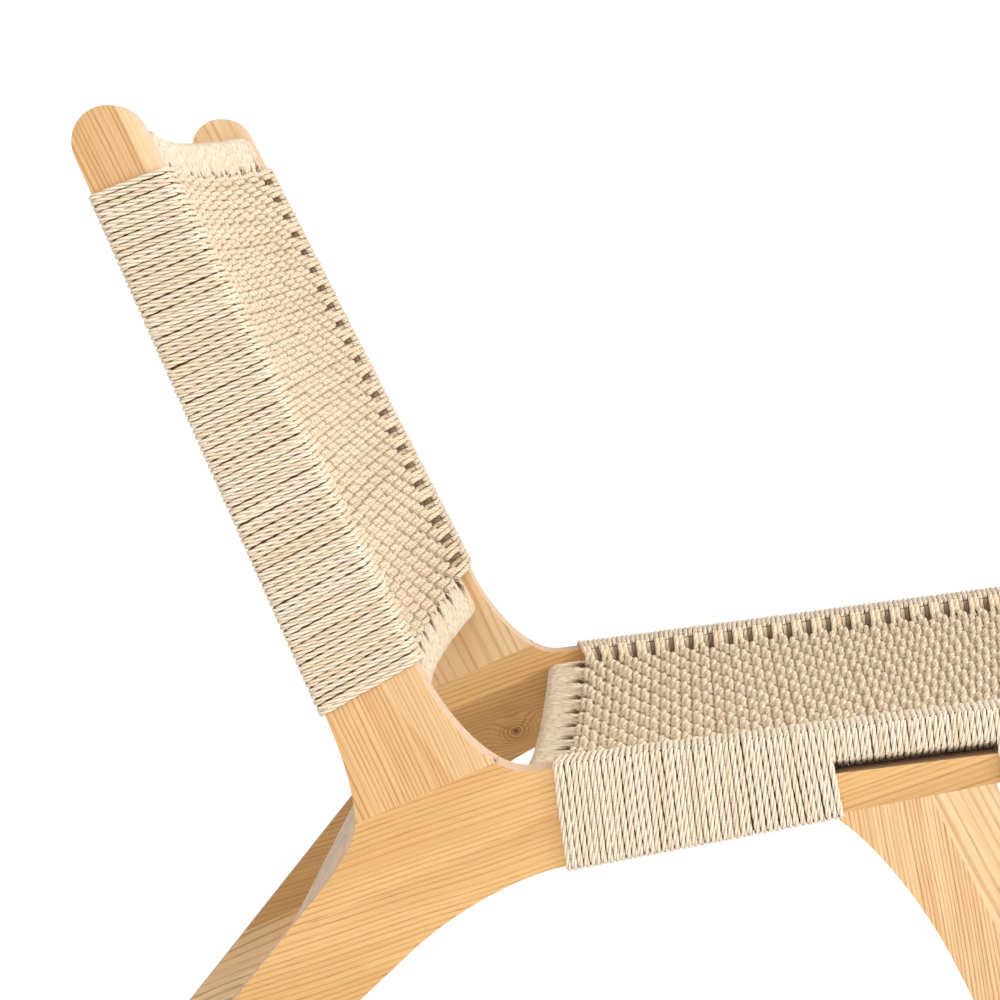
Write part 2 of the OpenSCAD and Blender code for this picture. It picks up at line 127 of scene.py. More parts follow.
class Shader:
    """The nodes of a material or of the world."""

    def __init__(self, owner):
        owner.use_nodes = True
        self.owner, self.tree = owner, owner.node_tree
        self.tree.nodes.clear()

    def node(self, kind, inputs=None, out=0, **settings):
        """A node of any other kind. Its inputs and its output go by name or by place."""
        made = self.tree.nodes.new(kind)
        for key, value in settings.items():
            setattr(made, key, value)
        for key, value in (inputs or {}).items():
            put(self.tree, made.inputs[key], value)
        return Socket(self.tree, made.outputs[out])

    def split(self, vector):
        parts = self.node("ShaderNodeSeparateXYZ", {0: vector}).out.node
        return [Socket(self.tree, out) for out in parts.outputs]

    def vector(self, x, y, z):
        return self.node("ShaderNodeCombineXYZ", {"X": x, "Y": y, "Z": z})

    def dot(self, a, b):
        return self.node("ShaderNodeVectorMath", {0: a, 1: b}, "Value", operation="DOT_PRODUCT")

    def attribute(self, name, out="Fac"):
        return self.node("ShaderNodeAttribute", out=out, attribute_name=name)

    def noise(self, x, y, z, detail=2.0, rough=0.5):
        return self.node("ShaderNodeTexNoise", {
            "Vector": self.vector(x, y, z), "Scale": 1.0, "Detail": detail, "Roughness": rough},
            "Fac")

    def mix(self, factor, a, b):
        return self.node("ShaderNodeMix", {0: factor, 6: a, 7: b}, 2, data_type="RGBA")

    def to(self, surface, output="ShaderNodeOutputMaterial"):
        """Sends the surface to the output, and gives back the material or the world."""
        end = self.tree.nodes.new(output)
        self.tree.links.new(surface.out, end.inputs[0])
        return self.owner

    def finish(self, color, roughness, specular=0.5, relief=None, strength=0.3, distance=0.001):
        values = {"Base Color": color, "Roughness": roughness, "Specular IOR Level": specular}
        if relief is not None:
            values["Normal"] = self.node(
                "ShaderNodeBump", {"Height": relief, "Strength": strength, "Distance": distance})
        return self.to(self.node("ShaderNodeBsdfPrincipled", values))


TO_MM = 1000.0
SLOT_REAR = -234.0
SLOT_FRONT = -116.0
SLOT_FLOOR = 293.0


def ash(name, grain, pith, ring, tone, seed, contrast=1.0, sapwood=(), knot=None, dark_tone_and_shade=0.0,
        slotted=False):
    """Ash whose grain climbs at an angle in the side view. The pith is (height above the
    grain's own line, X), ring is one year's width, and tone runs from honey to pale. Each
    sapwood is (Y, Z, angle, from Z, to Z, strength), and a knot is (Y, Z, radius)."""
    s = Shader(bpy.data.materials.new(name))
    x, y, z = (part * TO_MM for part in s.split(s.node("ShaderNodeTexCoord", out="Object")))
    cosine, sine = math.cos(math.radians(grain)), math.sin(math.radians(grain))
    along = y * cosine + z * sine
    across = z * cosine - y * sine
    sway = s.noise(along * 0.0035 + seed, across * 0.008, x * 0.02)
    ripple = s.noise(along * 0.008, across * 0.06 + seed, x * 0.06)
    u = across - pith[0] + (sway - 0.5) * 18.0 + (ripple - 0.5) * 1.6
    v = x - pith[1] + (sway - 0.5) * 8.0
    if knot:
        knot_y, knot_z, size = knot
        by = along - (knot_y * cosine + knot_z * sine)
        off = across - (knot_z * cosine - knot_y * sine) + (ripple - 0.5) * 6.0
        around = (by * by + off * off * 2.4).sqrt()
        u = u + around.span(size * 9.0, 0.0) * size * 3.5

    # Rings that differ in width and in strength, with streaks, lines and pores along them
    radius = (u * u + v * v).sqrt()
    turn = radius / ring + (s.noise(radius * 0.05, seed, 0.0, 1.0) - 0.5) * 2.4
    year = turn.fract()
    good = s.noise(radius * 0.21, seed + 5.0, along * 0.002, 1.0).span(0.34, 0.60)
    early = year.span(0.0, 0.14) * year.span(0.50, 0.18) * (good * 0.55 + 0.45)
    streak = s.noise(along * 0.004, across * 0.30 + seed, x * 0.30, 3.0, 0.55)
    line = s.noise(along * 0.005, across * 1.25 + seed, x * 1.25, 3.0, 0.65)
    pores = s.noise(along * 0.050, across * 2.4, x * 2.4 + seed, 2.0, 0.6)
    pore = pores.span(0.50, 0.62) * (early * 0.80 + 0.20)
    cloud = s.noise(along * 0.004 + seed, across * 0.022, x * 0.03, 3.0)
    color = s.mix(tone, hue(233, 186, 122), hue(243, 211, 167))
    color = s.mix(streak.span(0.42, 0.70) * (0.34 * contrast), color, hue(214, 160, 98))
    color = s.mix(line.span(0.46, 0.66) * (0.22 * contrast), color, hue(196, 142, 84))
    color = s.mix(cloud.span(0.40, 0.70) * 0.42, color, hue(212, 158, 96))
    color = s.mix(early * (0.62 * contrast), color, hue(192, 136, 78))
    color = s.mix(pore * (0.42 * contrast), color, hue(152, 100, 52))

    # Pale sapwood on one side of a line, with a darker edge on the other
    for line_y, line_z, angle, low, high, much in sapwood:
        a = math.radians(angle)
        side = (y - line_y) * -math.sin(a) + (z - line_z) * math.cos(a) + (ripple - 0.5) * 3.0
        there = z.span(low - 30.0, low + 30.0) * z.span(high + 30.0, high - 30.0)
        color = s.mix(side.span(1.5, -1.5) * there * (much * 0.5), color, hue(184, 134, 88))
        color = s.mix(side.span(-1.5, 1.5) * there * much, color, hue(246, 218, 176))
    if knot:
        eye = around.span(size, size * 0.5)
        rings = ((around * (5.4 / size)).cos() * 0.5 + 0.5) * around.span(size * 7.0, size)
        color = s.mix(rings * 0.62, color, hue(120, 78, 44))
        color = s.mix(eye * 0.85, color, hue(74, 44, 24))

    # A board's narrow faces are paler than its sides, partly sanded wood and partly painted
    # light, and the floor of the slot is darkened with painted shade
    normal = s.split(s.node("ShaderNodeNewGeometry", out="Normal"))
    edge = normal[0].abs().span(0.80, 0.20)
    color = s.mix(edge * 0.60, color, hue(240, 210, 186))
    # A darker board: partly its own tone, partly painted shade on the far frame's inner side
    if dark_tone_and_shade:
        color = s.mix(dark_tone_and_shade, color, hue(128, 82, 44))
    if slotted:
        past_rear = y.span(SLOT_REAR - 2.0, SLOT_REAR + 2.0)
        in_slot = past_rear * y.span(SLOT_FRONT + 2.0, SLOT_FRONT - 2.0)
        floor = in_slot * normal[2].span(0.80, 0.95) * z.span(SLOT_FLOOR - 3.0, SLOT_FLOOR + 3.0)
        color = s.mix(floor * 0.45, color, hue(112, 70, 34))
    relief = (1.0 - pore) * 0.7 + (1.0 - early) * 0.3
    return s.finish(color, 0.60 + early * 0.08, 0.25, relief, 0.20, 0.0004)


MM = 0.001
MERGED = 0.02
FLAT = math.radians(1)
CREASE = math.radians(32)
EASED = 2.4
SIDE_BOARDS = (
    "back_upright", "knee_board", "side_rail", "heel_board", "leg_rear_board", "leg_front_board")


def side_points(node):
    """The corners of a solid in the side view, as (Y, Z)."""
    return np.array([[v.co.y, v.co.z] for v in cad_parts[node].data.vertices]) / MM


def seams_of(node, touching=0.03, shortest=5.0):
    """Lines (point, direction) in the side view where a board meets others of its frame."""
    side, own = node.split("_")[0], side_points(node)
    lines = []
    for other in (f"{side}_{word}" for word in SIDE_BOARDS):
        if other == node:
            continue
        theirs = side_points(other)
        gap = np.linalg.norm(own[:, None] - theirs[None], axis=2).min(axis=1)
        shared = own[gap < touching]
        if len(shared) < 2:
            continue
        spread = np.linalg.norm(shared[:, None] - shared[None], axis=2)
        i, j = np.unravel_index(spread.argmax(), spread.shape)
        if spread[i, j] > shortest:
            lines.append((shared[i], (shared[j] - shared[i]) / spread[i, j]))
    return lines


def on_seam(point, seam, touching=0.05):
    at, along = seam
    d = np.array([point.y, point.z]) / MM - at
    return abs(d[0] * along[1] - d[1] * along[0]) < touching


def added(name, data):
    """A new object of the scene, with its mesh, light or camera."""
    made = bpy.data.objects.new(name, data)
    bpy.context.scene.collection.objects.link(made)
    return made


def smooth_copy(node, material):
    """A copy of a solid with its doubles merged and its round surfaces smooth."""
    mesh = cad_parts[node].data.copy()
    piece = added(node + "_wood", mesh)
    mesh.materials.clear()
    mesh.materials.append(material)
    bm = bmesh.new()
    bm.from_mesh(mesh)
    bmesh.ops.remove_doubles(bm, verts=bm.verts, dist=MERGED * MM)
    bmesh.ops.dissolve_limit(bm, angle_limit=FLAT, verts=bm.verts, edges=bm.edges)
    for face in bm.faces:
        face.smooth = True
        face.material_index = 0
    for edge in bm.edges:
        edge.smooth = len(edge.link_faces) != 2 or edge.calc_face_angle(0) < CREASE
    bm.to_mesh(mesh)
    bm.free()
    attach(piece, "root")
    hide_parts(node)
    return piece


BORES = np.vstack([
    side_points(node) for node in ("back_rail_dowels", "seat_rail_dowels", "stretcher_dowels")])


def by_bore(point, reach=1.5):
    """Whether a point of a board lies on the rim of a dowel's bore."""
    gap = BORES - np.array([point.y, point.z]) / MM
    return float((gap * gap).sum(axis=1).min()) < reach ** 2


def board(node, material):
    """A board with its long outer edges eased. Glue seams and bores stay sharp."""
    piece = smooth_copy(node, material)
    seams = seams_of(node)
    bm = bmesh.new()
    bm.from_mesh(piece.data)
    weight = bm.edges.layers.float.new("bevel_weight_edge")
    for edge in bm.edges:
        if len(edge.link_faces) != 2:
            continue
        flat = [abs(face.normal.x) > 0.99 for face in edge.link_faces]
        if flat[0] == flat[1]:
            continue
        a, b = (v.co for v in edge.verts)
        glued = any(on_seam(a, seam) and on_seam(b, seam) for seam in seams)
        if not glued and not by_bore((a + b) / 2):
            edge[weight] = 1.0
            edge.smooth = True
    bm.to_mesh(piece.data)
    bm.free()
    bevel = piece.modifiers.new("eased edges", "BEVEL")
    bevel.limit_method = "WEIGHT"
    bevel.width = EASED * MM
    bevel.segments = 3
    bevel.use_clamp_overlap = True
    normals = piece.modifiers.new("flat faces", "WEIGHTED_NORMAL")
    normals.keep_sharp = True


UPRIGHT_SAPWOOD = ((345.5, 737.0, 64.0, 670, 2000, 0.6), (173.7, 360, 51.3, -500, 480, 0.20))
RAIL_KNOT = (115.2, 245.7, 3.2)
board("right_back_upright", ash(
    "ash right upright", grain=64.0, pith=(-70, -300), ring=3.0, tone=0.42, seed=1.3,
    contrast=1.25, sapwood=UPRIGHT_SAPWOOD))
board("left_back_upright", ash(
    "ash left upright", grain=64.0, pith=(80, 330), ring=8.5, tone=1.0, seed=4.1,
    contrast=0.7))
board("right_knee_board", ash(
    "ash right knee", grain=-19.0, pith=(60, -230), ring=3.7, tone=0.10, seed=2.2,
    contrast=0.9))
board("left_knee_board", ash(
    "ash left knee", grain=-20.0, pith=(80, 60), ring=3.2, tone=0.15, seed=7.7,
    dark_tone_and_shade=0.06))
board("right_side_rail", ash(
    "ash right rail", grain=-19.5, pith=(-80, -230), ring=3.8, tone=0.10, seed=3.1,
    contrast=0.95, slotted=True))
board("left_side_rail", ash(
    "ash left rail", grain=-19.0, pith=(-120, 240), ring=3.6, tone=0.0, seed=5.4,
    knot=RAIL_KNOT, dark_tone_and_shade=0.34, slotted=True))
board("right_heel_board", ash(
    "ash right heel", grain=-24.0, pith=(20, 40), ring=3.2, tone=0.6, seed=6.1))
board("left_heel_board", ash(
    "ash left heel", grain=-25.0, pith=(40, 50), ring=3.4, tone=1.0, seed=8.8))
board("right_leg_rear_board", ash(
    "ash right leg rear", grain=80.0, pith=(130, -345), ring=2.8, tone=0.85, seed=9.4,
    contrast=1.3))
board("left_leg_rear_board", ash(
    "ash left leg rear", grain=83.0, pith=(130, 345), ring=4.2, tone=0.5, seed=10.2))
board("right_leg_front_board", ash(
    "ash right leg front", grain=60.0, pith=(240, -335), ring=7.0, tone=1.0, seed=11.5,
    contrast=0.8))
board("left_leg_front_board", ash(
    "ash left leg front", grain=60.0, pith=(240, 335), ring=4.2, tone=0.4, seed=12.6))


# Stretcher and cross rails
# Straight pieces of ash with rounded edges, dowelled between the two side frames. The
# stretcher runs bare between the rear legs, and the cross rails lie inside their wraps.
RAIL_PITH = (190.0, 150.0)
RAIL_RING = 3.3


def rail_ash(name, tone, seed):
    """Ash with its grain across the chair. The pith is (Y, Z)."""
    s = Shader(bpy.data.materials.new(name))
    x, y, z = (part * TO_MM for part in s.split(s.node("ShaderNodeTexCoord", out="Object")))
    sway = s.noise(x * 0.006 + seed, y * 0.02, z * 0.02)
    u, v = y - RAIL_PITH[0] + sway * 14.0, z - RAIL_PITH[1] + sway * 10.0
    year = ((u * u + v * v).sqrt() / RAIL_RING).fract()
    early = year.span(0.0, 0.15) * year.span(0.6, 0.2)
    streak = s.noise(x * 0.04, y * 1.2, z * 1.2, 3.0, 0.6)
    color = s.mix(tone, hue(226, 176, 118), hue(240, 212, 186))
    color = s.mix(early * 0.4, color, hue(212, 160, 106))
    color = s.mix(streak.span(0.4, 0.75) * 0.3, color, hue(214, 168, 116))
    return s.finish(color, 0.45, 0.35, 1.0 - early, 0.15, 0.0003)


rail_wood = rail_ash("ash rail", tone=0.35, seed=2.0)
stretcher_wood = rail_ash("ash stretcher", tone=0.85, seed=5.0)
smooth_copy("rear_stretcher", stretcher_wood)
for node in ("back_top_rail", "back_bottom_rail", "seat_rear_rail", "seat_front_rail"):
    smooth_copy(node, rail_wood)


# Glides
# Discs of dark plastic under the feet, each with a pin that is driven into the end of its
# leg. The chair stands on them.
glide = Shader(bpy.data.materials.new("glide")).finish((0.05, 0.045, 0.04), 0.55)
smooth_copy("foot_glides", glide)


# Dowels
# Plain wooden pins, glued into a bore in each of the two pieces that they join. They are
# sealed inside the wood, so their solids are used as they are.
dowel_wood = Shader(bpy.data.materials.new("dowel")).finish((0.66, 0.46, 0.27), 0.6)
for node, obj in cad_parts.items():
    if node.endswith("dowels"):
        obj.data.materials.clear()
        obj.data.materials.append(dowel_wood)


# Paper cord
# Three strands of twisted kraft paper, laid into a cord. On the wraps the strands are a
# relief in the sweep itself, whose profile turns along the cord. In the weave, whose cords
# are far more, they are a bump alone.
LAY = 26.0
CORD_R = 2.1
WRAP_R = 2.20
WEAVE_R = 2.28
STRAND_RELIEF = 0.44


def paper_cord(name, wrapped):
    """Paper with its strands. The cords hold the length along them, a tint of their own,
    the direction from their middle, the direction out from what they go round, and in
    shade the height in the weave and how dark it is there."""
    s = Shader(bpy.data.materials.new(name))
    along = s.attribute("along")
    tint = s.attribute("tint")
    around = s.split(s.attribute("around", "Vector"))
    shade = s.split(s.attribute("shade", "Vector"))
    out = s.attribute("out", "Vector")
    phase = around[1].atan2(around[0])
    if wrapped:
        papers = (hue(240, 218, 186), hue(250, 236, 213))
        ply_much, groove_shade_much, flank_shade_much, lobe_height = 0.35, 0.70, 0.54, 0.35
    else:
        phase = phase - along * (2 * math.pi / LAY)
        papers = (hue(240, 217, 184), hue(251, 233, 203))
        ply_much, groove_shade_much, flank_shade_much, lobe_height = 0.5, 0.55, 0.12, 1.0
    lobe = (phase * 1.5).cos().abs()
    third = (phase * 3.0).cos()
    facing = s.dot(s.node("ShaderNodeNewGeometry", out="Normal"), out)
    # Painted shade on the flanks of a cord that face its neighbours
    flank_shade = facing.abs().span(0.55, 0.08)
    # Painted shade in the hollows where a weft lies low in the weave and faces out
    hollow_shade = (shade[0] * -1.0).span(0.25, 0.62) * facing.span(-0.2, 0.5)
    ply = s.noise(along * 0.12 + tint * 90.0, third * 0.8, tint * 40.0)
    fibre = s.noise(along * 0.45, third * 2.5, tint * 77.0, 3.0, 0.65)
    # Painted shade in the grooves between the strands
    groove = lobe.span(0.45, 0.0)
    color = s.mix(tint, *papers)
    color = s.mix(ply.span(0.40, 0.70) * ply_much, color, hue(246, 233, 215))
    color = s.mix(fibre.span(0.45, 0.80) * 0.4, color, hue(220, 195, 162))
    color = s.mix(groove * groove_shade_much, color, hue(158, 118, 76))
    color = s.mix(flank_shade * flank_shade_much, color, hue(112, 76, 42))
    color = s.mix(hollow_shade * 0.78, color, hue(118, 78, 40))
    color = s.mix(shade[1], color, hue(84, 54, 28))
    relief = lobe.span(0.0, 0.9) * lobe_height + fibre * 0.2
    return s.finish(color, 0.8, 0.15, relief, 0.6, 0.0006)


def sweep_tree():
    """Sweeps edges into cords, three strands to each, and stores the direction round it."""
    tree = bpy.data.node_groups.new("cord sweep", "GeometryNodeTree")
    io = tree.interface
    for word, kind in (("Geometry", "Geometry"), ("Radius", "Float"), ("Sides", "Int"),
                       ("Relief", "Float"), ("Turn", "Float"), ("Material", "Material")):
        io.new_socket(word, in_out="INPUT", socket_type="NodeSocket" + kind)
    io.new_socket("Geometry", in_out="OUTPUT", socket_type="NodeSocketGeometry")

    def new(kind, inputs=None, **settings):
        """The outputs of a node, with its settings and then its inputs."""
        node = tree.nodes.new(kind)
        for key, value in settings.items():
            setattr(node, key, value)
        for key, value in (inputs or {}).items():
            if isinstance(value, bpy.types.NodeSocket):
                tree.links.new(value, node.inputs[key])
            else:
                node.inputs[key].default_value = value
        return node.outputs

    def maths(operation, *values):
        return new("ShaderNodeMath", dict(enumerate(values)), operation=operation)[0]

    # The profile: a circle whose three lobes are the strands
    given = new("NodeGroupInput")
    circle = new("GeometryNodeCurvePrimitiveCircle",
                 {"Resolution": given["Sides"], "Radius": given["Radius"]})
    place = new("GeometryNodeInputPosition")[0]
    stored = new("GeometryNodeStoreNamedAttribute",
                 {"Geometry": circle["Curve"], "Name": "around", "Value": place},
                 data_type="FLOAT_VECTOR")
    parts = new("ShaderNodeSeparateXYZ", {0: place})
    angle = maths("ARCTAN2", parts[1], parts[0])
    lobe = maths("SQRT", maths("ABSOLUTE", maths("COSINE", maths("MULTIPLY", angle, 1.5))))
    groove = maths("MULTIPLY", given["Relief"], maths("SUBTRACT", 1.0, lobe))
    scaled = new("ShaderNodeVectorMath", {0: place, "Scale": maths("SUBTRACT", 1.0, groove)},
                 operation="SCALE")
    profile = new("GeometryNodeSetPosition",
                  {"Geometry": stored["Geometry"], "Position": scaled[0]})

    # The cords: every run of edges is a curve, and the profile turns along it
    curve = new("GeometryNodeMeshToCurve", {"Mesh": given["Geometry"]})
    length = new("GeometryNodeInputNamedAttribute", {"Name": "along"}, data_type="FLOAT")
    turned = new("GeometryNodeSetCurveTilt", {
        "Curve": curve["Curve"], "Tilt": maths("MULTIPLY", length["Attribute"], given["Turn"])})
    swept = new("GeometryNodeCurveToMesh", {
        "Curve": turned["Curve"], "Profile Curve": profile["Geometry"], "Fill Caps": True})
    smooth = new("GeometryNodeSetShadeSmooth", {"Geometry": swept["Mesh"]})
    realized = new("GeometryNodeRealizeInstances", {"Geometry": smooth["Geometry"]})
    painted = new("GeometryNodeSetMaterial",
                  {"Geometry": realized["Geometry"], "Material": given["Material"]})
    new("NodeGroupOutput", {0: painted["Geometry"]})
    return tree


SWEEP = sweep_tree()
WRAP_CORD = paper_cord("paper cord, wrapped", True)
WEAVE_CORD = paper_cord("paper cord, woven", False)
STRAYS = ((0.16, 61.0), (0.12, 27.0))
STRAY_ENDS = 14.0
rng = np.random.default_rng(11)


def ease(t):
    """A soft step from 0 to 1."""
    t = np.clip(t, 0.0, 1.0)
    return t * t * (3 - 2 * t)


def lengths_at(path):
    """The length of a line up to each of its points."""
    steps = np.linalg.norm(np.diff(path[:, :3], axis=0), axis=1)
    return np.concatenate([[0], np.cumsum(steps)])


def resampled(path, step):
    """The same line with points a step apart, and what else its rows hold."""
    at = lengths_at(path)
    new = np.linspace(0, at[-1], max(2, int(round(at[-1] / step)) + 1))
    return np.column_stack([np.interp(new, at, column) for column in path.T])


def outward(path, axis):
    """Unit directions away from what the path goes round, about an axis."""
    out = np.cross(np.gradient(path, axis=0), axis)
    return out / np.maximum(np.linalg.norm(out, axis=1, keepdims=True), 1e-9)


def stray(count, step):
    """How far a wrap strays sideways at each of its points, in waves of (size, length).
    Its ends stay in place."""
    at = np.arange(count) * step
    waves = sum(size * np.sin(2 * math.pi * (at / long + rng.uniform()))
                for size, long in STRAYS)
    ends = ease(at / STRAY_ENDS) * ease((at[-1] - at) / STRAY_ENDS)
    return waves * ends


def fixed_as_cord(piece, nodes):
    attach(piece, "root")
    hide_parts(*nodes)


def cords(name, paths, nodes, axis, step=None, sides=7):
    """One piece of many cords. A path is (rows of X, Y, Z, height in the weave and shade,
    length before it, tint). With a step the cords are wraps: their points are that far
    apart, their strands are a relief, and they stray a little."""
    points, edges, along, tints, outs, shades = [], [], [], [], [], []
    for rows, start, tint in paths:
        rows = resampled(rows, step) if step else rows
        path = rows[:, :3]
        shades.extend(np.column_stack([rows[:, 3:], np.zeros(len(rows))]))
        if step:
            path = path + axis * stray(len(path), step)[:, None]
        first = len(points)
        outs.extend(outward(path, axis))
        points.extend(path * MM)
        edges.extend((first + i, first + i + 1) for i in range(len(path) - 1))
        along.extend(start + lengths_at(path))
        tints.extend([tint] * len(path))
    mesh = bpy.data.meshes.new(name)
    mesh.from_pydata([tuple(p) for p in points], edges, [])
    for word, values in (("along", along), ("tint", tints)):
        mesh.attributes.new(word, "FLOAT", "POINT").data.foreach_set("value", values)
    for word, values in (("out", outs), ("shade", shades)):
        held = mesh.attributes.new(word, "FLOAT_VECTOR", "POINT")
        held.data.foreach_set("vector", np.ravel(values))
    piece = added(name, mesh)
    sweep = piece.modifiers.new("cord sweep", "NODES")
    sweep.node_group = SWEEP
    given = {s.name: s.identifier for s in SWEEP.interface.items_tree if s.in_out == "INPUT"}
    sweep[given["Radius"]] = (WRAP_R if step else WEAVE_R) * MM
    sweep[given["Sides"]] = sides
    sweep[given["Relief"]] = STRAND_RELIEF if step else 0.0
    sweep[given["Turn"]] = 2 * math.pi / LAY if step else 0.0
    sweep[given["Material"]] = WRAP_CORD if step else WEAVE_CORD
    ready = piece.evaluated_get(bpy.context.evaluated_depsgraph_get())
    piece.data = bpy.data.meshes.new_from_object(ready)
    piece.modifiers.remove(sweep)
    piece.data.name = name
    fixed_as_cord(piece, nodes)


# Shade under the wraps
# Between two cords of a wrap one sees the dark under them, and not bright wood. A dark skin
# just off the wood stands for it, under every row of wraps.
SHADE = Shader(bpy.data.materials.new("shade between cords")).finish(hue(112, 74, 38), 0.95, 0.0)
SHADE_DEPTH = 1.7


def shade_skin(name, paths, nodes, axis):
    rows = [path[:, :3] - SHADE_DEPTH * outward(path[:, :3], axis) for path, start, tint in paths]
    wide = len(rows[0])
    quads = [(a, a + 1, a + wide + 1, a + wide) for row in range(len(rows) - 1)
             for a in range(row * wide, (row + 1) * wide - 1)]
    mesh = bpy.data.meshes.new(name)
    mesh.from_pydata([tuple(p * MM) for p in np.vstack(rows)], [], quads)
    mesh.materials.append(SHADE)
    fixed_as_cord(added(name, mesh), nodes)


# Seat and back
# Each is woven by hand on the finished frame: warps run between two cross rails, two cords
# at a time, and pairs of weft cords pass over and under them in turn. A face's own frame is
# its origin, the direction up along it and the direction towards the sitter.
ACROSS = np.array([1.0, 0, 0])
HALF_OUT = 325.0
BOARD_THICK = 30.0
HALF_IN = HALF_OUT - BOARD_THICK
RAKE = math.radians(7.8)
LEAN = math.radians(26.95)
SEAT_FRAME = (
    np.array([0, 45.0, 317.6]),
    np.array([0, -math.cos(RAKE), math.sin(RAKE)]),
    np.array([0, math.sin(RAKE), math.cos(RAKE)]),
)
BACK_FRAME = (
    np.array([0, 156.9, 384.7]),
    np.array([0, math.sin(LEAN), math.cos(LEAN)]),
    np.array([0, -math.cos(LEAN), math.sin(LEAN)]),
)
WARPS = 18
WARP_GAP = 33.0
WARP_X = WARP_GAP * (np.arange(WARPS) - (WARPS - 1) / 2)
LAST_WARP = WARP_GAP * (WARPS - 1) / 2
WARP_DROP = 1.5
PAIR_SHIFT = 4.5
SHINGLE = 0.25
FLAT_SHARE = 0.3
RAIL_REACH = 30.0
SINK_REACH = 26.0
RAIL_WIDTH = 25.0
RAIL_DEPTH = 29.0
SLOT_CORDS = range(45, 72)
SLOT_BAND = 15.5


class Face:
    """A woven face with so many weft cords, and the two cross rails it is stretched over.
    Weft, front and rear are where the first and the last weft cord lie in the weave and on
    the front and the rear of the side frames. Each rail is its two edges, and each top its
    height. The weave bows in its middle, sinks beside the rails, and rises and spreads at
    every crossing. Parting opens every second gap at a cross rail, and with edge shade and
    pit shading it sets the painted shade in the dark places between its cords. Loose is how
    uneven the wraps lie, and the papers are the mean tints of its cords."""

    def __init__(self, place, count, **sizes):
        self.place, self.count = place, count
        vars(self).update(sizes)
        self.hand = float(np.dot(np.cross(ACROSS, place[1]), place[2]))

    def arc(self, x):
        return -self.bow * (1 - (x / HALF_IN) ** 2)

    def level(self, x, u):
        """Height of the middle of the weave. It follows the bowed rails at its ends, and
        between them the cords are drawn flatter."""
        low, high = self.low_rail[1], self.high_rail[0]
        part = np.clip((u - low) / (high - low), 0, 1)
        top = self.low_top + (self.high_top - self.low_top) * part
        near = np.minimum(u - low, high - u)
        give = FLAT_SHARE + (1 - FLAT_SHARE) * np.exp(-np.maximum(near, 0) / RAIL_REACH)
        return top + self.arc(x) * give + CORD_R - self.sink * ease(near / SINK_REACH)

    def weft_wave(self, x, i):
        """From -1 under a warp to 1 over it. The two cords of a pair are a little apart."""
        sign = 1 if (i // 2) % 2 == 0 else -1
        shift = PAIR_SHIFT if i % 2 == 0 else -PAIR_SHIFT
        wave = np.cos(math.pi * (x - WARP_GAP / 2 - shift) / WARP_GAP)
        return sign * (0.5 * wave + np.arcsin(wave) / math.pi)

    def weft_height(self, x, u, i):
        """The rear cord of a pair lies a little higher, like a shingle."""
        shingle = SHINGLE if i % 2 == 0 else -SHINGLE
        return self.level(x, u) + self.rise * self.weft_wave(x, i) + shingle

    def rail(self, inner):
        """A rail's inner and outer edge, its top and its parting. Inner is 1 for the rail
        where the weave begins, and -1 for the one where it ends."""
        if inner == 1:
            return self.low_rail[1], self.low_rail[0], self.low_top, self.parting[0]
        return self.high_rail[0], self.high_rail[1], self.high_top, self.parting[1]


def seat_low_edge(i, u):
    """Underside of the seat rail, or of the band above the slot where the slot is."""
    return -SLOT_BAND if i in SLOT_CORDS else -66.0 + u * 0.0661


def back_low_edge(i, u):
    """Rear edge of the upright."""
    return -70.2 + u * 0.0553


seat = Face(
    SEAT_FRAME, 100, weft=(-10.3, 392.6), front=(-17.8, 391.4), rear=(-17.8, 391.4),
    low_rail=(-16 - RAIL_WIDTH, -16), high_rail=(398, 398 + RAIL_WIDTH), low_top=-9,
    high_top=-9, low_edge=seat_low_edge, bow=14, sink=3.0, rise=3.9, spread=0.75,
    parting=(10.5, 4.2), edge_shade=(0.95, 0.95), pit_shading=1.0, loose=0.12,
    weft_paper=0.85, rail_paper=0.12)
back = Face(
    BACK_FRAME, 90, weft=(-2.0, 370.0), front=(3.0, 371.6), rear=(-1.3, 377.6),
    low_rail=(-8.5 - RAIL_WIDTH, -8.5), high_rail=(376.5, 376.5 + RAIL_WIDTH), low_top=-8,
    high_top=0, low_edge=back_low_edge, bow=18, sink=2.5, rise=3.0, spread=0.45,
    parting=(9.5, 4.2), edge_shade=(0.16, 0.95), pit_shading=0.62, loose=0.20,
    weft_paper=0.55, rail_paper=0.60)


# Wefts and side wraps
# A weft cord comes up the inner side of the right frame, goes round it and down into the
# weave, crosses the warps, and goes round the left frame in the same way. Over the front
# leg the seat's cords pass through the slot in the rail, and hang slack in it.
CROWDED = 22
RUN_END = LAST_WARP - 6.0
RUN_X = np.linspace(-RUN_END, RUN_END, 102)
WEFT_LIFT = 0.40
WEFT_PUSH = 0.34
TINT_SPREAD = 0.26
SLOT_SLACK = 10.5
JOINT_CORD = 44
JOINT_PUSH = 4.6
JOINT_REACH = 18.0
SLOT_SHADE = 0.75
DIVE_SHADE = 0.16
TURN_STEPS = 4
WRAP_TURNS = 4


def in_frame(place, rows):
    """Rows that start with a point of a face's frame, with the point as one of the chair."""
    origin, along, height = place
    points = origin + rows[:, :1] * ACROSS + rows[:, 1:2] * along + rows[:, 2:3] * height
    return np.column_stack([points, rows[:, 3:]])


def shaded(line, shade):
    """A line's rows with no height in the weave, and with a shade."""
    flat = np.zeros(len(line))
    return np.column_stack([line, flat, flat + shade])


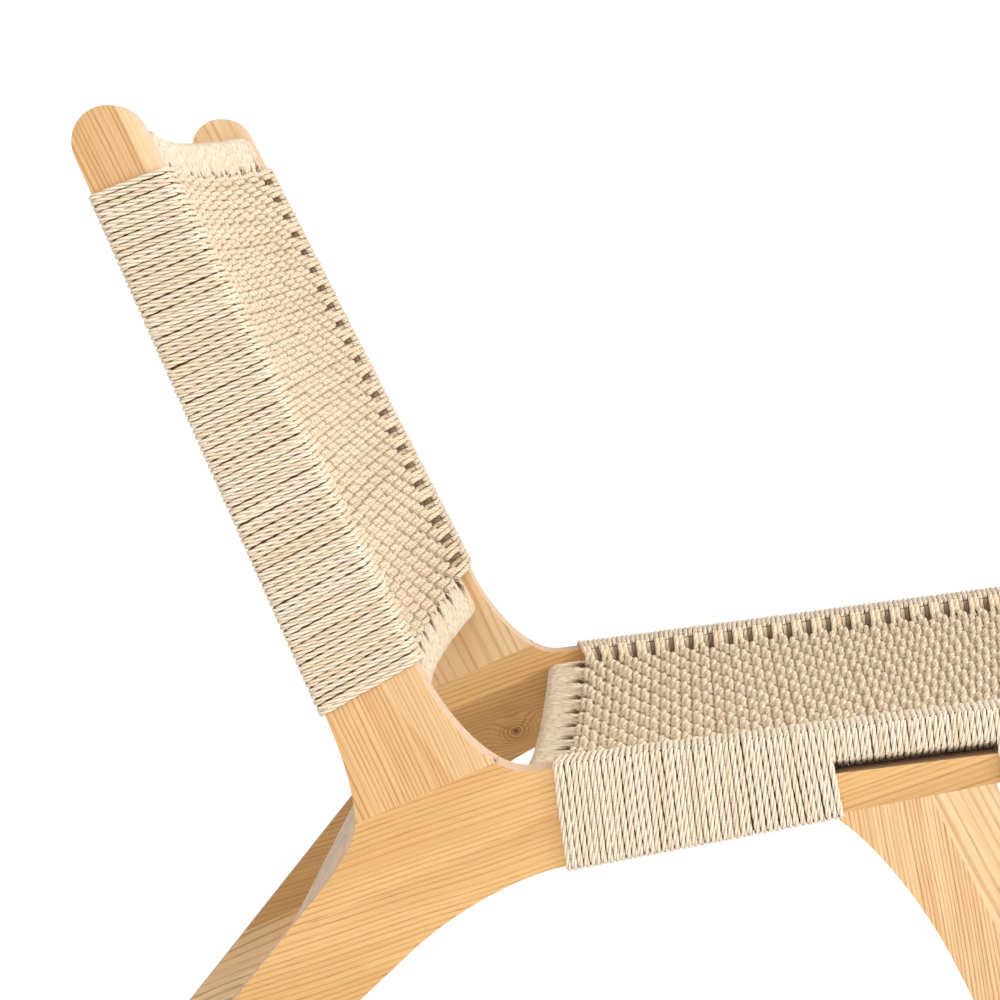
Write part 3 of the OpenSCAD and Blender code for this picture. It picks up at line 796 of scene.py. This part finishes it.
def rounded(corners, radii, steps):
    """A line through corners, with a radius at each turn and so many steps round it."""
    points = [np.asarray(corner, dtype=float) for corner in corners]
    line = [points[0]]
    for before, at, after, radius in zip(points, points[1:], points[2:], radii):
        a, b = before - at, after - at
        long_a, long_b = np.linalg.norm(a), np.linalg.norm(b)
        cosine = float(np.dot(a, b) / (long_a * long_b))
        half = math.acos(max(-1.0, min(1.0, cosine))) / 2
        reach = radius / math.tan(half) if half > 0.05 else radius
        cut = min(reach, long_a * 0.49, long_b * 0.49)
        start, end = at + a / long_a * cut, at + b / long_b * cut
        for i in range(steps + 1):
            t = i / steps
            line.append((1 - t) ** 2 * start + 2 * t * (1 - t) * at + t * t * end)
    line.append(points[-1])
    return np.array(line)


def evenly(ends, i, count):
    return ends[0] + (ends[1] - ends[0]) * i / (count - 1)


def weft_place(face, i):
    """Where a weft cord lies in the weave. Its ends are where it meets the cross rails, and
    further in it runs straight on from its wraps."""
    place = evenly(face.front, i, face.count)
    for end, steps in ((0, i), (1, face.count - 1 - i)):
        place += (face.weft[end] - face.front[end]) * max(0.0, 1 - steps / CROWDED) ** 2
    return place


def weft_run(face, i, u):
    """A weft cord's rows across the warps. It sways a little from one warp to the next."""
    rear_cord = i % 2 == 0
    lift, push = rng.normal(0, WEFT_LIFT, WARPS), rng.normal(0, WEFT_PUSH, WARPS)
    wave = face.weft_wave(RUN_X, i)
    spread = (-face.spread if rear_cord else face.spread) * wave
    us = u + spread + rng.normal(0, 0.12) + np.interp(RUN_X, WARP_X, push)
    ns = face.weft_height(RUN_X, us, i) + np.interp(RUN_X, WARP_X, lift)
    # Painted shade at the low points where a weft dives under a warp; pit shading also scales the
    # height that sets the hollows' painted shade
    pit_shade = (1 - face.pit_shading) * ease((-wave - 0.12) / 0.22) * (1.15 if rear_cord else 0.2)
    return np.column_stack([RUN_X, us, ns, face.pit_shading * wave, pit_shade])


def side_wrap(face, i, side, u, end):
    """A weft cord's wrap round one side frame, and its slope down to its end in the weave."""
    in_slot = face is seat and i in SLOT_CORDS
    u_front = evenly(face.front, i, face.count) + rng.normal(0, face.loose)
    u_rear = evenly(face.rear, i, face.count) + rng.normal(0, face.loose * 1.3)
    if face is seat and i <= JOINT_CORD:
        u_rear += JOINT_PUSH * ease(1 - (JOINT_CORD - i) / JOINT_REACH)
    low = face.low_edge(i, u_rear) - CORD_R
    lift = rng.normal(0, 0.10)
    x_in, x_out = side * (HALF_IN - CORD_R), side * (HALF_OUT + CORD_R + lift)
    dives = ((i // 2) % 2 == 1) == (side > 0)
    x_weave = side * (LAST_WARP + (9.0 if dives else 2.0))
    n_weave = float(face.weft_height(side * LAST_WARP, u, i)) + (1.5 if dives else 0)
    first = max(low + 4.0, float(face.level(side * HALF_IN, u)) - 7.0)
    corners = [
        (x_in, u, first),
        (x_in, u + (u_rear - u) * 0.5, low - (SLOT_SLACK if in_slot else 0.0)),
        (x_out, u_rear, low),
        (x_out, u_front, CORD_R + lift),
        (x_in - side * 1.2, u + (u_front - u) * 0.5, CORD_R + lift),
        (x_weave, u, n_weave),
        (end[0], u, end[2]),
    ]
    line = rounded(corners, [3.4, 3.4, 3.6, 3.6, 4.0], TURN_STEPS)

    # The wrap ends with its turn on top of the frame's inner edge, and the slope goes on
    top = WRAP_TURNS * (TURN_STEPS + 1)
    # Painted shade: slot cords darken as they run in under the slot, and cords that dive in
    # beside the last warp darken at the frame's inner edge
    off_middle = np.abs(line[:, 0])
    inside = ease((abs(x_out) - 6.0 - off_middle) / 8.0) * (line[:, 2] < low + 3.0)
    edge_shade = face.edge_shade[0 if side < 0 else 1] if i % 2 == 1 else DIVE_SHADE
    dive_shade_amount = ease((HALF_IN + 1.0 - off_middle) / 8.0) * dives * edge_shade
    rows = shaded(line, np.where(np.arange(len(line)) < top, SLOT_SHADE * inside * in_slot, dive_shade_amount))
    return rows[:top + 1], rows[top:-1]


def weft_paths(face):
    """Wraps round the right frame, weft, and wraps round the left, of every weft cord."""
    right, middle, left = [], [], []
    for i in range(face.count):
        u = weft_place(face, i)
        run = weft_run(face, i, u)
        wrap_r, slope_r = side_wrap(face, i, -1, u, run[0])
        wrap_l, slope_l = side_wrap(face, i, 1, u, run[-1])
        run[[0, -1], 4] = slope_r[-1, 4], slope_l[-1, 4]
        weft = np.vstack([slope_r, run, slope_l[::-1]])
        tint = float(np.clip(rng.normal(face.weft_paper, TINT_SPREAD), 0, 1))
        start = float(rng.uniform(0, LAY))
        for paths, rows in ((right, wrap_r), (middle, weft), (left, wrap_l[::-1])):
            paths.append((in_frame(face.place, rows), start, tint))
            start += float(lengths_at(rows)[-1])
    return right, middle, left


wefts = {"seat": weft_paths(seat), "back": weft_paths(back)}

# The right frame is the one near the camera, so its cords have shorter steps and more sides
for word, side, step, sides in (("right", 0, 2.3, 12), ("left", 2, 3.0, 9)):
    on_seat, on_back = wefts["seat"][side], wefts["back"][side]
    for part, face, some in (
            ("seat_rear", seat, on_seat[:SLOT_CORDS.start]),
            ("slot", seat, on_seat[SLOT_CORDS.start:SLOT_CORDS.stop]),
            ("seat_front", seat, on_seat[SLOT_CORDS.stop:]), ("back", back, on_back)):
        axis = face.hand * face.place[1]
        cords(f"{word}_{part}_cords", some, [f"{word}_{part}_wrap"], axis, step, sides)
        shade_skin(f"{word}_{part}_shade", some, [f"{word}_{part}_wrap"], axis)


# Warps and rail wraps
# Each warp is two cords that turn round both cross rails and run through the weave. More
# cords, wound round one rail alone, fill the gaps between them. At a rail's inner edge the
# weave draws the warps two by two, and every second gap opens.
WARP_HALF = 2.05
WARP_PAPER = 0.55
FILL_CORDS = 6
FILL_PITCH = (WARP_GAP - 2 * WARP_HALF) / (FILL_CORDS + 1)
PARTED_OVER = 13.0
SINK_FROM = 266.0
SINK_OVER = 25.0
END_SINK = 4.2
RAIL_STEPS = 5
FILL_LIFT = 0.30
FILL_WOBBLE = 0.45
FILL_TINT_SPREAD = 0.20


def parted(x, width):
    """How far the weave pushes a cord of a cross rail aside: every second gap is parted."""
    away = x - WARP_GAP * 2 * round(x / (WARP_GAP * 2))
    return math.copysign(width * (1 - abs(away) / WARP_GAP), away)


def end_sink(x):
    """How far the last cords of a cross rail sink towards the side frame."""
    return END_SINK * float(ease((abs(x) - SINK_FROM) / SINK_OVER))


def warp_turn(face, x, inner, first):
    """A warp's turn round a cross rail, up to its first point in the weave."""
    near, away, rail_top, width = face.rail(inner)
    top = rail_top + float(face.arc(x)) + CORD_R - end_sink(x)
    bottom = top - 2 * CORD_R - RAIL_DEPTH
    corners = [
        (x, near + inner * CORD_R, top - 16),
        (x, near + inner * CORD_R, bottom),
        (x, away - inner * CORD_R, bottom),
        (x, away - inner * CORD_R, top),
        (x + parted(x, width) * 0.25, near - inner * PARTED_OVER, top),
        (x + parted(x, width) * 0.75, near - inner * 1.0, top),
        tuple(first),
    ]
    return rounded(corners, [7.0, 7.0, 10.0, 8.0, 3.0], RAIL_STEPS)


def warp_paths(face):
    """The warps' turns round the low and the high cross rail, and their runs between."""
    low_turns, runs, high_turns = [], [], []
    for middle in WARP_X:
        for half in (-WARP_HALF, WARP_HALF):
            x = middle + half
            us = np.arange(face.weft[0] + 1.0, face.weft[1], 2.0)
            run = np.column_stack([np.full_like(us, x), us, face.level(x, us) - WARP_DROP])
            low, high = warp_turn(face, x, 1, run[0]), warp_turn(face, x, -1, run[-1])
            tint = float(np.clip(rng.normal(WARP_PAPER, TINT_SPREAD), 0, 1))
            start = float(rng.uniform(0, LAY))
            # Painted shade: the warps' runs are a little darker, and those of the last warp much
            # darker
            for paths, line, shade in (
                    (low_turns, low, 0.0), (runs, run, 0.85 if middle == LAST_WARP else 0.35),
                    (high_turns, high[::-1], 0.0)):
                paths.append((in_frame(face.place, shaded(line, shade)), start, tint))
                start += float(lengths_at(line)[-1])
    return low_turns, runs, high_turns


def fill_paths(face, inner):
    """Cords that only go round a cross rail, in the gaps between the warps."""
    near, away, rail_top, width = face.rail(inner)
    mid = (near + away) / 2
    places = [WARP_GAP * (k + 0.5 - (WARPS - 1) / 2) + (j - (FILL_CORDS - 1) / 2) * FILL_PITCH
              for k in range(-1, WARPS) for j in range(FILL_CORDS)]
    paths = []
    for x in places:
        if abs(x) > HALF_IN - CORD_R - 0.3:
            continue
        pushed = parted(x, width)
        top = rail_top + float(face.arc(x)) + CORD_R + rng.normal(0, FILL_LIFT) - end_sink(x)
        bottom = top - 2 * CORD_R - RAIL_DEPTH
        wobble = rng.normal(0, FILL_WOBBLE, 4)
        corners = [
            (x, mid, bottom),
            (x + wobble[0], near + inner * CORD_R, bottom),
            (x + pushed + wobble[1], near + inner * CORD_R, top - 0.6),
            (x + pushed * 0.25, near - inner * PARTED_OVER, top),
            (x + wobble[2], away - inner * CORD_R, top),
            (x + wobble[3], away - inner * CORD_R, bottom),
            (x, mid, bottom),
        ]
        tint = float(np.clip(rng.normal(face.rail_paper, FILL_TINT_SPREAD), 0, 1))
        line = rounded(corners, [7.0, 5.5, 8.0, 10.0, 7.0], RAIL_STEPS)
        # Painted shade on the cords beside every opened gap, near the rail's inner edge
        parting_shade = ease(1 - np.abs(line[:, 1] - near) / width) * (abs(pushed) > width * 0.9)
        rows = in_frame(face.place, shaded(line, 0.90 * parting_shade))
        paths.append((rows, float(rng.uniform(0, LAY)), tint))
    return paths


for word, face, low_rail, high_rail in (
        ("seat", seat, "seat_rear_rail", "seat_front_rail"),
        ("back", back, "back_bottom_rail", "back_top_rail")):
    low_turns, runs, high_turns = warp_paths(face)
    cords(f"{word}_weft", wefts[word][1], [f"{word}_weave"], face.hand * face.place[1])
    cords(f"{word}_warp", runs, [f"{word}_weave"], -face.hand * ACROSS)
    for rail, turns, inner in ((low_rail, low_turns, 1), (high_rail, high_turns, -1)):
        fill = fill_paths(face, inner)
        cords(f"{rail}_cords", turns + fill, [f"{rail}_wrap"], ACROSS, 3.0, 9)
        shade_skin(f"{rail}_shade", fill, [f"{rail}_wrap"], inner * face.hand * ACROSS)


# Floor and backdrop
# White studio paper under and behind the chair. The camera sees it mostly by its own glow,
# so its shadows stay faint.
studio = Shader(bpy.data.materials.new("studio white"))
paper = studio.node("ShaderNodeBsdfDiffuse", {"Color": (0.9, 0.9, 0.9)})
glow = studio.node("ShaderNodeEmission", {"Strength": 1.2})
seen = studio.node("ShaderNodeLightPath", out="Is Camera Ray") * 0.8
studio_white = studio.to(studio.node("ShaderNodeMixShader", {0: seen, 1: paper, 2: glow}))
PAPER_HALF = 9
PAPER_HEIGHT = 8


def plane(name, corners):
    mesh = bpy.data.meshes.new(name)
    mesh.from_pydata(corners, [], [(0, 1, 2, 3)])
    mesh.materials.append(studio_white)
    added(name, mesh)


far, top = PAPER_HALF, PAPER_HEIGHT
plane("floor", [(-far, -far, 0), (far, -far, 0), (far, far, 0), (-far, far, 0)])
plane("backdrop", [(far, -far, 0), (far, -far, top), (far, far, top), (far, far, 0)])


# Light
# A large soft light high on the camera's side, a weaker one beside the camera, and an even
# fill from all round that the camera sees as white.
world = bpy.data.worlds.new("studio")
bpy.context.scene.world = world
sky = Shader(world)
dim = sky.node("ShaderNodeBackground", {"Color": (1, 1, 1), "Strength": 0.62})
white = sky.node("ShaderNodeBackground", {"Color": (1, 1, 1)})
by_camera = sky.node("ShaderNodeLightPath", out="Is Camera Ray")
sky.to(sky.node("ShaderNodeMixShader", {0: by_camera, 1: dim, 2: white}), "ShaderNodeOutputWorld")
LIT = Vector((0, 0, 0.4))


def area(name, place, size, power):
    data = bpy.data.lights.new(name, "AREA")
    data.shape = "DISK"
    data.size = size
    data.energy = power
    light = added(name, data)
    light.location = place
    light.rotation_euler = (LIT - Vector(place)).to_track_quat("-Z", "Y").to_euler()


area("key", (-1.3, -3.3, 2.3), 1.6, 95)
area("side", (-3.2, 0.4, 1.2), 1.6, 30)


# Camera
# A long lens at the sitter's right, somewhat below the top of the back. It looks across the
# chair, at the near frame's outer side, and a little down on the seat.
CAMERA_AT = (-2.771, -0.0143, 0.7137)
CAMERA_AIM = (0.9950, 0.04647, -0.08838)
camera_data = bpy.data.cameras.new("camera")
camera_data.lens = 132.1
camera_data.sensor_width = 36
camera_data.clip_end = 60
camera = added("camera", camera_data)
camera.location = CAMERA_AT
camera.rotation_euler = Vector(CAMERA_AIM).to_track_quat("-Z", "Y").to_euler()
scene = bpy.context.scene
scene.camera = camera
scene.render.engine = "CYCLES"
scene.view_settings.view_transform = "Standard"
